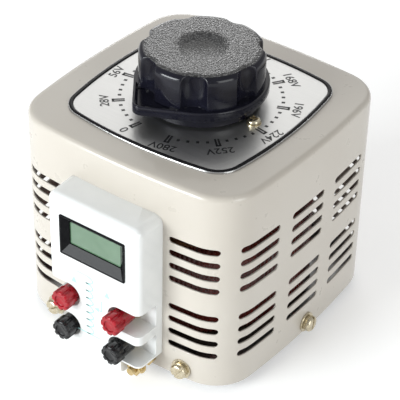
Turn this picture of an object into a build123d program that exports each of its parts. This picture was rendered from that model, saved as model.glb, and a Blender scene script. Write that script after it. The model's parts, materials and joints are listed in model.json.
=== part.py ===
# Bench variac: a contact voltage regulator with a square, slotted steel cover, a dial and knob on
# top, and a moulded terminal panel with a small display on the front.
# Frame: X right along the front, Y to the back, Z up, feet on Z = 0. The parts are drawn about the
# knob axis and saved AXIS_Y further back, which puts the origin under the middle of the whole.
# Each node goes to parts/NAME.step.
from build123d import *
import math
import os

os.makedirs("parts", exist_ok=True)

MIN3 = (Align.CENTER, Align.CENTER, Align.MIN)

AXIS_Y = 10.03             # knob axis behind the origin (mm)

# cover (mm)
COVER_HALF = 67.0          # middle of a side to the axis
COVER_BULGE = 4.7          # how far the middle of a side stands out from a straight side
COVER_CORNER = 21.8        # plan radius at the corners
COVER_WALL = 0.9
COVER_EDGE = 2.8           # radius between the top and the sides
COVER_FOOT = 4.0           # lower edge of the cover above the floor
COVER_TALL = 110.6
COVER_TOP = COVER_FOOT + COVER_TALL
SHAFT_HOLE = 13.0

# vent slots
SLOT_TALL = 3.5
SLOT_LONG = 26.4
SLOT_ROWS = [18.4 + 7.55 * i for i in range(4)] + [57.6 + 7.5 * i for i in range(4)]

# dial
PLATE_HALF = 49.6
PLATE_BULGE = 5.4
PLATE_CORNER = 11.5
PLATE_THICK = 0.8
FRAME_WIDE = 2.6           # black trim frame around the plate
FRAME_TALL = 1.3
DIAL_TOP = COVER_TOP + PLATE_THICK
DIAL_ZERO = -104.0         # bearing of the 0 mark, degrees from +X
DIAL_SCREW_R = 33.2
DIAL_SCREWS = [-6.0, 174.0]  # bearings

# knob
KNOB_R = 30.4
KNOB_TALL = 28.6           # above the dial plate
SKIRT_R = 32.4
SKIRT_LOW = 6.3
SKIRT_TALL = 4.8
POINTER_R = 40.6
FLUTES = 7
FLUTE_AT = -61.0           # bearing of one flute with the pointer on 0 V
FLUTE_R = 7.4
FLUTE_IN = 4.4             # depth of a flute
DISH_R = 11.9

# shaft and stack
SHAFT_R = 4.0
BASE_LOW = 4.4             # underside of the base plate
BASE_THICK = 1.2
BASE_FLANGE = 10.0
FLOOR = BASE_LOW + BASE_THICK
RING_THICK = 3.0
WIND_LOW = FLOOR + 4.0 + RING_THICK
WIND_TALL = 50.0
WIND_TOP = WIND_LOW + WIND_TALL
WIND_OUT = 57.0
WIND_IN = 21.5
WIRE_COVER = 5.0           # winding depth around the core
CLAMP_LOW = WIND_TOP + 1.0
CLAMP_THICK = 4.0
DISC_LOW = WIND_TOP + 13.0
DISC_THICK = 3.0
DISC_R = 47.0
BRUSH_R = 44.0

# terminal panel
PANEL_WIDE = 56.0
PANEL_TALL = 91.0
PANEL_LOW = COVER_FOOT + 0.8
PANEL_FACE = 83.2          # distance of the front face from the knob axis
PANEL_WALL = 2.2
BAY_R = 6.5
BAY_FLOOR = 70.6           # distance of the bay floors from the knob axis
POST_X = 15.0
POST_Z = [COVER_FOOT + 17.4, COVER_FOOT + 35.6]
POST_R = 5.4
POST_FRONT = 90.4
EARTH_X = 21.0
EARTH_Z = COVER_FOOT + 5.0

BOSS_X = 22.6
BOSS_Z = [PANEL_LOW + 48.0, PANEL_LOW + 84.0]

# display
SCREEN_Z = COVER_FOOT + 70.3
SCREEN_WIDE = 38.6
SCREEN_TALL = 22.4
GLASS_WIDE = 30.4
GLASS_TALL = 12.8
GLASS_UP = 0.9             # the window sits a little above the middle of its frame


def save(name, shape):
    placed = Pos(0, AXIS_Y, 0) * shape
    placed.label = name
    export_step(placed, f"parts/{name}.step")


def cyl(r, tall, x=0.0, y=0.0, z=0.0):
    """Upright cylinder standing on z."""
    return Pos(x, y, z) * Cylinder(r, tall, align=MIN3)


def tube(r_out, r_in, tall, x=0.0, y=0.0, z=0.0):
    return cyl(r_out, tall, x, y, z) - cyl(r_in, tall + 2, x, y, z - 1)


def forward(x, z, y):
    """Frame whose +Z points out of the front (-Y), at the distance y in front of the axis."""
    return Pos(x, -y, z) * Rot(90, 0, 0)


def polar(r, deg):
    a = math.radians(deg)
    return r * math.cos(a), r * math.sin(a)


def corner_centre(half, bulge, corner):
    """Side radius and the plan position (c, c) of a corner centre of a bulged square."""
    side = half * half / (2 * bulge) + bulge / 2
    lead = half - side
    b = -2 * lead
    k = lead * lead - (side - corner) ** 2
    return side, (-b + math.sqrt(b * b - 8 * k)) / 4


def bulged_square(half, bulge, corner):
    """Square plan whose four sides are long arcs joined by tangent corner arcs."""
    side, c = corner_centre(half, bulge, corner)
    turn = math.atan2(c, c - half + side)
    edges = []
    for k in range(4):
        mid = (half, 0)
        low = (half - side + side * math.cos(turn), -side * math.sin(turn))
        high = (low[0], -low[1])
        knee = (c + corner * math.cos(math.pi / 4), c + corner * math.sin(math.pi / 4))
        after = (high[1], high[0])
        spin = Rot(0, 0, 90 * k)
        edges.append(spin * ThreePointArc(low, mid, high))
        edges.append(spin * ThreePointArc(high, knee, after))
    return make_face(Wire(edges))


def inset(by):
    """Cover plan moved inwards."""
    side, _ = corner_centre(COVER_HALF, COVER_BULGE, COVER_CORNER)
    half = COVER_HALF - by
    bulge = (side - by) - math.sqrt((side - by) ** 2 - half * half)
    return bulged_square(half, bulge, COVER_CORNER - by)


SIDE_R, CORNER_C = corner_centre(COVER_HALF, COVER_BULGE, COVER_CORNER)


def along_cover(s):
    """Plan point and outward bearing at the distance s round the cover from the middle of the
    front, counted towards +X."""
    turn = math.atan2(CORNER_C, CORNER_C - COVER_HALF + SIDE_R)
    flat = SIDE_R * turn
    bend = COVER_CORNER * (math.pi / 2 - 2 * turn)
    face = -90.0
    while s > flat + bend / 2:
        s -= 2 * flat + bend
        face += 90
    while s < -(flat + bend / 2):
        s += 2 * flat + bend
        face -= 90
    if abs(s) <= flat:
        a = s / SIDE_R
        x = COVER_HALF - SIDE_R + SIDE_R * math.cos(a)
        y = SIDE_R * math.sin(a)
    else:
        sign = 1 if s > 0 else -1
        a = sign * (turn + (abs(s) - flat) / COVER_CORNER)
        x = CORNER_C + COVER_CORNER * math.cos(a)
        y = sign * CORNER_C + COVER_CORNER * math.sin(a)
    px, py = polar(math.hypot(x, y), face + math.degrees(math.atan2(y, x)))
    return px, py, face + math.degrees(a)


def out_of_cover(s, z, lift=0.0):
    """Frame on the cover whose +Z points straight out of the wall."""
    x, y, bearing = along_cover(s)
    dx, dy = polar(lift, bearing)
    return Pos(x + dx, y + dy, z) * Rot(0, 0, bearing) * Rot(0, 90, 0)


def slot_cutter(start, z):
    """One rounded slot that follows the wall from the distance start round the cover."""
    r = SLOT_TALL / 2
    steps = 6
    body = None
    for i in range(steps):
        s0 = start + r + (SLOT_LONG - 2 * r) * i / steps
        s1 = start + r + (SLOT_LONG - 2 * r) * (i + 1) / steps
        corners = []
        for s, d in ((s0, 3.0), (s1, 3.0), (s1, -4.0), (s0, -4.0)):
            x, y, bearing = along_cover(s)
            dx, dy = polar(d, bearing)
            corners.append((x + dx, y + dy))
        piece = extrude(make_face(Polyline(corners, close=True)), SLOT_TALL)
        body = piece if body is None else body + piece
    body = Pos(0, 0, z - r) * body
    for s in (start + r, start + SLOT_LONG - r):
        body += out_of_cover(s, z) * Cylinder(r, 8)
    return body


# ---- cover ---------------------------------------------------------------------------------------
SLOT_STARTS = [31.1 + 36.05 * i for i in range(6)]
COVER_SCREWS = [39.1, 120.7, 202.3]      # distances round the cover, mirrored to the left
SCREW_Z = COVER_FOOT + 5.4

outer = Pos(0, 0, COVER_FOOT) * extrude(inset(0), COVER_TALL)
outer = fillet(outer.faces().sort_by(Axis.Z)[-1].edges(), COVER_EDGE)
hollow = Pos(0, 0, COVER_FOOT - 1) * extrude(inset(COVER_WALL), COVER_TALL - COVER_WALL + 1)
hollow = fillet(hollow.faces().sort_by(Axis.Z)[-1].edges(), COVER_EDGE - COVER_WALL)
cover = outer - hollow
for start in SLOT_STARTS:
    row = slot_cutter(start, 0)
    rows = [Pos(0, 0, COVER_FOOT + z) * row for z in SLOT_ROWS]
    cover -= Compound(rows)
    cover -= Compound([mirror(one, Plane.YZ) for one in rows])
for s in COVER_SCREWS:
    for sign in (1, -1):
        cover -= out_of_cover(sign * s, SCREW_Z) * Cylinder(2.7, 12)
cover -= cyl(SHAFT_HOLE, 10, z=COVER_TOP - 5)
for bearing in DIAL_SCREWS:
    x, y = polar(DIAL_SCREW_R, bearing)
    cover -= cyl(1.65, 10, x, y, COVER_TOP - 5)
cover -= Pos(0, -COVER_HALF, PANEL_LOW + 46) * Box(40, 12, 70)
for x in (-BOSS_X, BOSS_X):
    for z in BOSS_Z:
        cover -= forward(x, z, COVER_HALF) * Cylinder(1.7, 12)
cover -= forward(EARTH_X, EARTH_Z, COVER_HALF) * Cylinder(2.1, 12)
save("cover", cover)

# ---- base plate, feet and the screws that hold them ------------------------------------------------
BASE_GAP = COVER_WALL + 0.3
base = Pos(0, 0, BASE_LOW) * extrude(inset(BASE_GAP), BASE_FLANGE)
base -= Pos(0, 0, FLOOR) * extrude(inset(BASE_GAP + BASE_THICK), BASE_FLANGE)
for k in range(4):
    x, y = polar(66.0, 45 + 90 * k)
    base -= cyl(2.2, 6, x, y, BASE_LOW - 1)
for k in range(8):
    x, y = polar(50.0, 22.5 + 45 * k)
    base -= cyl(4.0, 6, x, y, BASE_LOW - 1)
for k in range(3):
    x, y = polar(15.0, 90 + 120 * k)
    base -= cyl(2.1, 6, x, y, BASE_LOW - 1)
for s in COVER_SCREWS:
    for sign in (1, -1):
        base -= out_of_cover(sign * s, SCREW_Z) * Cylinder(2.1, 16)
base -= forward(EARTH_X, EARTH_Z, COVER_HALF) * Cylinder(2.1, 16)
save("base_plate", base)

feet = []
foot_screws = []
for k in range(4):
    x, y = polar(66.0, 45 + 90 * k)
    foot = Pos(x, y, 0) * Cone(8.0, 9.0, BASE_LOW, align=MIN3)
    foot -= cyl(2.2, 10, x, y, -1)
    foot -= cyl(4.6, 2.6, x, y, 0)
    feet.append(foot)
    head = cyl(3.9, 1.9, x, y, 0.7) - Pos(x, y, 0.7) * Box(6.0, 0.9, 1.6)
    shank = cyl(1.95, FLOOR + 1.5, x, y, 0.7)
    nut = Pos(x, y, FLOOR) * extrude(RegularPolygon(3.9, 6), 2.6)
    foot_screws.append(head + shank + nut)
save("feet", Compound(feet))
save("foot_screws", Compound(foot_screws))


def pan_screw(head_r, head_tall, shank_r, long, cross=True):
    """Pan-head screw, head up on z = 0, shank down."""
    head = Cylinder(head_r, head_tall, align=MIN3)
    head = fillet(head.faces().sort_by(Axis.Z)[-1].edges(), head_tall * 0.55)
    arm = head_r * 1.15
    cut = Box(arm, head_r * 0.26, head_tall, align=MIN3)
    if cross:
        cut += Box(head_r * 0.26, arm, head_tall, align=MIN3)
    head -= Pos(0, 0, head_tall * 0.4) * cut
    return head + Pos(0, 0, -long) * Cylinder(shank_r, long, align=MIN3)


def washer(r_out, r_in, thick):
    return Cylinder(r_out, thick, align=MIN3) - Pos(0, 0, -1) * Cylinder(r_in, thick + 2, align=MIN3)


def hex_nut(across, bore, tall):
    body = extrude(RegularPolygon(across / math.sqrt(3), 6), tall)
    return body - Pos(0, 0, -1) * Cylinder(bore, tall + 2, align=MIN3)


screws = []
washers = []
clips = []
for s in COVER_SCREWS:
    for sign in (1, -1):
        at = out_of_cover(sign * s, SCREW_Z)
        screws.append(at * Pos(0, 0, 1.85) * pan_screw(4.1, 2.9, 2.0, 9.2, cross=False))
        washers.append(at * Pos(0, 0, 0.05) * washer(5.2, 2.2, 0.9))
        washers.append(at * Pos(0, 0, 1.0) * washer(3.9, 2.2, 0.8))
        clips.append(at * Pos(0, 0, -(BASE_GAP + BASE_THICK + 3.1)) * washer(3.4, 2.05, 2.6))
save("cover_screws", Compound(screws))
save("cover_washers", Compound(washers))
save("cover_nuts", Compound(clips))

# ---- transformer stack -------------------------------------------------------------------------------
pad = tube(WIND_OUT - 1.0, WIND_IN - 1.5, 4.0, z=FLOOR)
save("base_pad", pad)

ring_low = tube(WIND_OUT + 1.0, WIND_IN - 1.5, RING_THICK - 0.1, z=WIND_LOW - RING_THICK)
for k in range(24):
    x, y = polar(WIND_OUT + 1.6, 15 * k)
    ring_low -= cyl(1.6, 8, x, y, WIND_LOW - 5)
save("ring_lower", ring_low)

rim = RectangleRounded(WIND_OUT - WIND_IN, WIND_TALL, 6.0)
winding = revolve(Plane.XZ * Pos((WIND_OUT + WIND_IN) / 2, WIND_LOW + WIND_TALL / 2) * rim, Axis.Z)
core_in = WIND_IN + WIRE_COVER
core_out = WIND_OUT - WIRE_COVER
core_tall = WIND_TALL - 2 * WIRE_COVER
core = tube(core_out, core_in, core_tall, z=WIND_LOW + WIRE_COVER)
winding -= tube(core_out + 0.05, core_in - 0.05, core_tall + 0.1, z=WIND_LOW + WIRE_COVER - 0.05)
track = tube(BRUSH_R + 5.5, BRUSH_R - 5.5, 2.0, z=WIND_TOP - 1.2)
winding -= track
save("core", core)
save("winding", winding)
save("brush_track", tube(BRUSH_R + 5.45, BRUSH_R - 5.45, 1.15, z=WIND_TOP - 1.15))

clamp = tube(WIND_IN + 7.0, 9.4, CLAMP_THICK, z=CLAMP_LOW)
for k in range(3):
    x, y = polar(15.0, 90 + 120 * k)
    clamp -= cyl(2.1, 12, x, y, CLAMP_LOW - 3)
save("top_clamp", clamp)
save("clamp_ring", tube(WIND_IN + 8.5, 17.6, CLAMP_LOW - WIND_TOP - 0.1, z=WIND_TOP + 0.05))

column = cyl(19.0, 3.5, z=FLOOR) + cyl(9.3, CLAMP_LOW + CLAMP_THICK + 2.0 - FLOOR, z=FLOOR)
column = column - cyl(6.0, 200, z=FLOOR - 1)
for k in range(3):
    x, y = polar(15.0, 90 + 120 * k)
    column -= cyl(2.1, 12, x, y, FLOOR - 3)
save("bearing_column", column)

COLUMN_TOP = CLAMP_LOW + CLAMP_THICK + 2.0
bushes = []
for z in (FLOOR + 2.0, COLUMN_TOP - 11.0):
    bushes.append(tube(6.0, SHAFT_R + 0.04, 11.0, z=z))
save("bushes", Compound(bushes))

bolts = []
bolt_nuts = []
for k in range(3):
    x, y = polar(15.0, 90 + 120 * k)
    top = CLAMP_LOW + CLAMP_THICK
    bolts.append(Pos(x, y, BASE_LOW - 2.6) * extrude(RegularPolygon(4.0, 6), 2.6)
                 + cyl(2.0, top + 5.0 - BASE_LOW, x, y, BASE_LOW))
    bolt_nuts.append(Pos(x, y, top) * (washer(4.6, 2.05, 0.8) + Pos(0, 0, 0.8) * hex_nut(7.0, 2.05, 2.8)))
save("stack_bolts", Compound(bolts))
save("stack_nuts", Compound(bolt_nuts))

# ---- turning gear: shaft, hub disc, brush, collector, stop --------------------------------------------
SHAFT_LOW = FLOOR + 1.0
SHAFT_TOP = DIAL_TOP + 22.0
shaft = cyl(SHAFT_R, SHAFT_TOP - SHAFT_LOW, z=SHAFT_LOW)
shaft = chamfer(shaft.edges().filter_by(GeomType.CIRCLE), 0.5)
shaft -= Pos(0, SHAFT_R, DIAL_TOP + 12) * Box(10, 1.6, 16)
save("shaft", shaft)
save("shaft_collar", tube(7.6, SHAFT_R, 3.0, z=COLUMN_TOP + 0.1))

hub = tube(9.0, SHAFT_R, 11.0, z=DISC_LOW)
disc = hub + tube(DISC_R, 8.5, DISC_THICK, z=DISC_LOW)
for k in range(10):
    if k in (4, 5, 6):
        continue
    x, y = polar(29.0, DIAL_ZERO + 180 + 36 * (k - 5))
    disc -= cyl(5.0, 8, x, y, DISC_LOW - 2)
bx, by = polar(BRUSH_R, DIAL_ZERO)
disc -= Pos(bx, by, DISC_LOW - 1) * Rot(0, 0, DIAL_ZERO) * Box(4.6, 8.4, 6, align=MIN3)
save("brush_disc", disc)

HOLD_LOW = WIND_TOP + 3.2
slide_way = Pos(bx, by, HOLD_LOW) * Rot(0, 0, DIAL_ZERO)
holder = slide_way * (Box(9.0, 13.0, DISC_LOW - HOLD_LOW, align=MIN3)
                      - Pos(0, 0, -1) * Box(4.4, 8.2, 20, align=MIN3))
bridge = Pos(bx, by, DISC_LOW + DISC_THICK) * Rot(0, 0, DIAL_ZERO) * (
    Box(9.0, 13.0, 6.0, align=MIN3) - Pos(0, 0, -0.5) * Box(4.4, 8.2, 5.0, align=MIN3))
save("brush_holder", holder)
save("brush_cap", bridge)
BRUSH_TALL = 10.0
brush = Pos(bx, by, WIND_TOP + 0.05) * Rot(0, 0, DIAL_ZERO) * Box(4.25, 8.05, BRUSH_TALL, align=MIN3)
save("carbon_brush", brush)
spring_low = WIND_TOP + 0.05 + BRUSH_TALL + 0.4
spring_tall = DISC_LOW + DISC_THICK + 4.5 - 0.3 - spring_low
coil = Wire(Helix(pitch=1.5, height=spring_tall - 0.6, radius=1.5))
wire = Plane(coil.edges()[0] @ 0, z_dir=coil.edges()[0] % 0) * Circle(0.22)
save("brush_spring", Pos(bx, by, spring_low + 0.3) * sweep(wire, path=coil))

save("collector_ring", tube(13.0, 9.05, 2.0, z=DISC_LOW - 2.05))
PIN_AT = DIAL_ZERO + 14.0
px, py = polar(24.0, PIN_AT)
pin = cyl(2.0, 7.0, px, py, CLAMP_LOW + CLAMP_THICK) + cyl(3.6, 1.2, px, py, CLAMP_LOW + CLAMP_THICK)
save("stop_pin", pin)
lx, ly = polar(24.0, DIAL_ZERO)
lug_half = 24.0 * math.radians(14.0) - 2.0 - 0.06
lug = Pos(lx, ly, DISC_LOW - 4.2) * Rot(0, 0, DIAL_ZERO) * Box(5.0, 2 * lug_half, 4.15, align=MIN3)
save("stop_lug", lug)

fx, fy = polar(25.0, 60)
finger_post = cyl(3.0, 3.0, fx, fy, CLAMP_LOW + CLAMP_THICK)
finger = Pos(0, 0, CLAMP_LOW + CLAMP_THICK + 3.0) * Rot(0, 0, 60) * Pos(18.0, 0, 0) * Box(18.0, 5.0, 0.5, align=MIN3)
tip = Rot(0, 0, 60) * Pos(11.0, 0, CLAMP_LOW + CLAMP_THICK + 3.5) * Box(3.0, 5.0, 0.7, align=MIN3)
lift = DISC_LOW - 2.15 - (CLAMP_LOW + CLAMP_THICK + 4.2)
tip += Rot(0, 0, 60) * Pos(11.0, 0, CLAMP_LOW + CLAMP_THICK + 4.2) * Box(2.0, 4.0, lift, align=MIN3)
save("collector_post", finger_post)
save("collector_finger", finger + tip)

# ---- dial plate, trim frame and screws ---------------------------------------------------------------
plate = Pos(0, 0, COVER_TOP) * extrude(bulged_square(PLATE_HALF, PLATE_BULGE, PLATE_CORNER), PLATE_THICK)
plate -= cyl(11.0, 6, z=COVER_TOP - 2)
for bearing in DIAL_SCREWS:
    x, y = polar(DIAL_SCREW_R, bearing)
    plate -= cyl(1.65, 6, x, y, COVER_TOP - 2)
save("dial_plate", plate)

frame_out = bulged_square(PLATE_HALF + FRAME_WIDE, PLATE_BULGE, PLATE_CORNER + FRAME_WIDE)
frame_in = bulged_square(PLATE_HALF + 0.05, PLATE_BULGE, PLATE_CORNER + 0.05)
frame = extrude(frame_out, FRAME_TALL) - Pos(0, 0, -1) * extrude(frame_in, FRAME_TALL + 2)
frame = Pos(0, 0, COVER_TOP) * frame
save("dial_frame", frame)

dial_screws = []
dial_washers = []
dial_nuts = []
for bearing in DIAL_SCREWS:
    x, y = polar(DIAL_SCREW_R, bearing)
    dial_washers.append(Pos(x, y, DIAL_TOP) * washer(3.6, 1.6, 0.5))
    dial_screws.append(Pos(x, y, DIAL_TOP + 0.5) * Rot(0, 0, 20) * pan_screw(3.1, 2.3, 1.5, 6.2))
    dial_nuts.append(Pos(x, y, COVER_TOP - COVER_WALL - 2.4) * hex_nut(5.5, 1.55, 2.4))
save("dial_screws", Compound(dial_screws))
save("dial_washers", Compound(dial_washers))
save("dial_nuts", Compound(dial_nuts))

# ---- knob with its pointer skirt ---------------------------------------------------------------------
body = cyl(KNOB_R, KNOB_TALL - SKIRT_LOW - 1.0, z=DIAL_TOP + SKIRT_LOW)
body = chamfer(body.faces().sort_by(Axis.Z)[-1].edges(), length=2.7, length2=2.4)
for k in range(FLUTES):
    x, y = polar(KNOB_R + FLUTE_R - FLUTE_IN, FLUTE_AT + 360 / FLUTES * k)
    body -= cyl(FLUTE_R, 40, x, y, DIAL_TOP + SKIRT_LOW + SKIRT_TALL - 0.2)
crown = cyl(KNOB_R - 2.9, 1.0, z=DIAL_TOP + KNOB_TALL - 1.0)
for k in range(FLUTES):
    x, y = polar(KNOB_R + FLUTE_R - FLUTE_IN, FLUTE_AT + 360 / FLUTES * k)
    crown -= cyl(FLUTE_R + 1.2, 4, x, y, DIAL_TOP + KNOB_TALL - 2)
body += crown
dish = Pos(0, 0, DIAL_TOP + KNOB_TALL - 2.4) * Cone(DISH_R - 2.6, DISH_R, 2.41, align=MIN3)
body -= dish
skirt = Circle(SKIRT_R)
grip = math.degrees(math.acos(SKIRT_R / (POINTER_R + 1.2)))
nose = [polar(SKIRT_R, DIAL_ZERO - grip), polar(POINTER_R + 1.2, DIAL_ZERO), polar(SKIRT_R, DIAL_ZERO + grip)]
skirt += make_face(Polyline([(0, 0)] + nose, close=True))
skirt = Pos(0, 0, DIAL_TOP + SKIRT_LOW) * extrude(skirt, SKIRT_TALL)
sharp = [e for e in skirt.edges().filter_by(Axis.Z) if Vector(e.center().X, e.center().Y, 0).length > POINTER_R]
skirt = fillet(sharp, 1.2)
knob = body + skirt + cyl(28.8, SKIRT_LOW - 1.2 + 0.1, z=DIAL_TOP + 1.2)
knob -= tube(26.5, 8.5, 18.0, z=DIAL_TOP)
knob -= cyl(SHAFT_R + 0.0, SHAFT_TOP - DIAL_TOP + 0.3, z=DIAL_TOP)
set_at = Pos(0, 0, DIAL_TOP + 15.0) * Rot(-90, 0, 0)
knob -= set_at * Cylinder(2.1, 40, align=MIN3)
save("knob", knob)
grub = set_at * Pos(0, 0, 3.25) * Cylinder(2.05, 7.0, align=MIN3)
grub -= set_at * Pos(0, 0, 7.7) * extrude(RegularPolygon(1.1, 6), 4)
save("knob_setscrew", grub)

# ---- terminal panel ------------------------------------------------------------------------------------
panel_z = PANEL_LOW + PANEL_TALL / 2
deep = PANEL_FACE - 60.0
shell_face = RectangleRounded(PANEL_WIDE, PANEL_TALL, 5.0)
shell_body = forward(0, panel_z, 60.0) * extrude(shell_face, deep, taper=2.0)
shell_body = fillet(shell_body.faces().sort_by(Axis.Y)[0].edges(), 3.6)
void_face = RectangleRounded(PANEL_WIDE - 2 * PANEL_WALL, PANEL_TALL - 2 * PANEL_WALL, 3.0)
void = forward(0, panel_z, 59.0) * extrude(void_face, deep + 1.0 - PANEL_WALL, taper=2.0)
panel = shell_body - void
for sign in (1, -1):
    block = Box(22.0, PANEL_FACE - BAY_FLOOR + 2.2, 37.2)
    y_mid = (PANEL_FACE + BAY_FLOOR - 2.2) / 2
    panel += (Pos(sign * 17.0, -y_mid, (POST_Z[0] + POST_Z[1]) / 2) * block) & shell_body
    for z in POST_Z:
        bay = Circle(BAY_R) + Pos(10 * sign, 0) * Rectangle(20, 2 * BAY_R)
        panel -= forward(sign * POST_X, z, BAY_FLOOR) * extrude(bay, 30)
        panel -= forward(sign * POST_X, z, BAY_FLOOR) * Cylinder(2.6, 12)
NOTCH_TOP = COVER_FOOT + 9.9
notch_high = NOTCH_TOP + 4.0
notch = Pos(EARTH_X + 6.0, 0, NOTCH_TOP - notch_high / 2) * Box(22.0, 400, notch_high)
panel -= notch
reach = PANEL_FACE - 60.0
wall_in = Pos(EARTH_X - 5.0 - PANEL_WALL / 2, -60.0 - reach / 2, NOTCH_TOP - 5.0) * Box(PANEL_WALL, reach, 12.0)
wall_up = Pos(EARTH_X + 2.0, -60.0 - reach / 2, NOTCH_TOP + 0.5) * Box(14.0 + PANEL_WALL, reach, 1.0)
panel += (wall_in & shell_body)
panel += (wall_up & shell_body)
panel -= Pos(0, -PANEL_FACE, SCREEN_Z) * Box(SCREEN_WIDE - 2.0, 12, SCREEN_TALL - 2.0)
for x in (-BOSS_X, BOSS_X):
    for z in BOSS_Z:
        boss = forward(x, z, 60.0) * Cylinder(3.2, BAY_FLOOR - 60.0 + 4.0, align=MIN3)
        panel += boss & shell_body
        panel -= forward(x, z, 59.0) * Cylinder(1.4, 14.0, align=MIN3)
panel -= outer
save("terminal_panel", panel)

panel_screws = []
for x in (-BOSS_X, BOSS_X):
    for z in BOSS_Z:
        wall_y = math.sqrt(SIDE_R ** 2 - x * x) - (SIDE_R - COVER_HALF) - COVER_WALL
        at = Pos(x, -wall_y + 0.35, z) * Rot(-90, 0, 0)
        panel_screws.append(at * pan_screw(2.8, 2.0, 1.35, 7.0))
save("panel_screws", Compound(panel_screws))

# ---- display -----------------------------------------------------------------------------------------
on_face = forward(0, SCREEN_Z, PANEL_FACE)
bezel = on_face * extrude(RectangleRounded(SCREEN_WIDE, SCREEN_TALL, 0.8), 0.7)
bezel += on_face * Pos(0, 0, -5.0) * extrude(Rectangle(SCREEN_WIDE - 2.1, SCREEN_TALL - 2.1), 5.1)
funnel = loft(Sketch() + [Pos(0, 0, 0.71) * Rectangle(SCREEN_WIDE - 2.0, SCREEN_TALL - 2.0),
                          Pos(0, GLASS_UP, -1.8) * Rectangle(GLASS_WIDE, GLASS_TALL)])
bezel -= on_face * funnel
bezel -= on_face * Pos(0, GLASS_UP, -6) * extrude(Rectangle(GLASS_WIDE, GLASS_TALL), 6)
bezel -= on_face * Pos(0, GLASS_UP, -6) * extrude(Rectangle(GLASS_WIDE + 2, GLASS_TALL + 2), 3.6)
save("display_bezel", bezel)
glass = on_face * Pos(0, GLASS_UP, -3.9) * extrude(Rectangle(GLASS_WIDE + 1.9, GLASS_TALL + 1.9), 1.45)
save("display_glass", glass)
board = on_face * Pos(0, 0, -7.6) * extrude(Rectangle(SCREEN_WIDE + 4, SCREEN_TALL + 8), 1.6)
board += on_face * Pos(0, GLASS_UP, -6.0) * extrude(Rectangle(GLASS_WIDE - 2, GLASS_TALL - 2), 2.05)
for dx in (-14, 0, 14):
    board += on_face * Pos(dx, -2, -10.4) * extrude(Rectangle(8, 10), 2.8)
save("display_board", board)

# ---- binding posts ----------------------------------------------------------------------------------
studs = []
stud_nuts = []
bases = []
for sign in (1, -1):
    for z in POST_Z:
        at = forward(sign * POST_X, z, BAY_FLOOR)
        studs.append(at * (Pos(0, 0, -9.0) * Cylinder(2.0, 9.0 + 16.9, align=MIN3)
                           + Pos(0, 0, 1.6) * Cylinder(4.2, 1.2, align=MIN3))
                     - at * Pos(0, 0, 3.95) * Rot(0, 90, 0) * Cylinder(0.9, 12))
        bases.append(at * washer(6.0, 2.05, 1.55))
        stud_nuts.append(at * Pos(0, 0, -2.2 - 3.0) * hex_nut(7.0, 2.02, 2.8))
        stud_nuts.append(at * Pos(0, 0, -2.2 - 6.2) * hex_nut(7.0, 2.02, 2.8))
save("post_studs", Compound(studs))
save("post_bases", Compound(bases))
save("post_nuts", Compound(stud_nuts))

CAP_BACK = 5.9
CAP_LONG = POST_FRONT - BAY_FLOOR - CAP_BACK


def post_cap():
    """Screw cap, back face on z = 0: a round barrel with a castellated grip and a blind bore."""
    cap = Cylinder(POST_R - 0.5, CAP_LONG, align=MIN3)
    grip_at = CAP_LONG - 6.4
    cap += Pos(0, 0, grip_at) * Cylinder(POST_R, 6.4, align=MIN3)
    cap = chamfer(cap.faces().sort_by(Axis.Z)[-1].edges(), 0.7)
    for k in range(8):
        x, y = polar(POST_R + 0.35, 22.5 + 45 * k)
        cap -= Pos(x, y, grip_at) * Rot(0, 0, 22.5 + 45 * k) * Box(2.2, 1.9, 8, align=MIN3)
    cap -= Pos(0, 0, CAP_LONG - 0.9) * Cylinder(3.0, 2, align=MIN3)
    return cap - Pos(0, 0, -1) * Cylinder(2.04, CAP_LONG - 1.4, align=MIN3)


names = {(1, 0): "right_black", (1, 1): "right_red", (-1, 0): "left_black", (-1, 1): "left_red"}
for (sign, row), tag in names.items():
    at = forward(sign * POST_X, POST_Z[row], BAY_FLOOR + CAP_BACK)
    save("cap_" + tag, at * post_cap())
    save("washer_" + tag, at * Pos(0, 0, -0.75) * washer(4.6, 2.06, 0.7))

# ---- earth terminal in the notch under the right-hand posts ---------------------------------------------
at = forward(EARTH_X, EARTH_Z, 62.0)
stud = at * Cylinder(2.0, 20.4, align=MIN3)
stud += at * Pos(0, 0, -2.3) * Cylinder(3.3, 2.3, align=MIN3)
save("earth_stud", stud)
nuts = at * Pos(0, 0, 5.0) * hex_nut(7.0, 2.02, 3.2)
nuts += at * Pos(0, 0, 13.6) * washer(4.6, 2.05, 0.9)
nuts += at * Pos(0, 0, 14.55) * hex_nut(7.0, 2.02, 3.2)
save("earth_nuts", nuts)

# ---- leads inside -----------------------------------------------------------------------------------------


def lead(points, r=0.9, bend=2.0):
    """Insulated wire along straight runs joined by arcs."""
    path = FilletPolyline(points, radius=bend)
    ring = Plane(path @ 0, z_dir=path % 0) * Circle(r)
    return sweep(ring, path=path)


leads = []
stud_end = BAY_FLOOR - 9.0 - 1.2
lane = stud_end - 2.4                    # the leads climb the gap between winding and cover
for sign in (1, -1):
    for i, z in enumerate(POST_Z):
        x = sign * POST_X
        leads.append(lead([(x, -stud_end, z), (x, -lane, z), (x + sign * 2.0, -lane, z + 12.0),
                           (x + sign * (4.0 + 4 * i), -lane, z + 26.0 - 6 * i)]))
save("leads", Compound(leads))
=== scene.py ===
import json
import math
import random

import bpy
from mathutils import Matrix, Vector, geometry, noise


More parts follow.
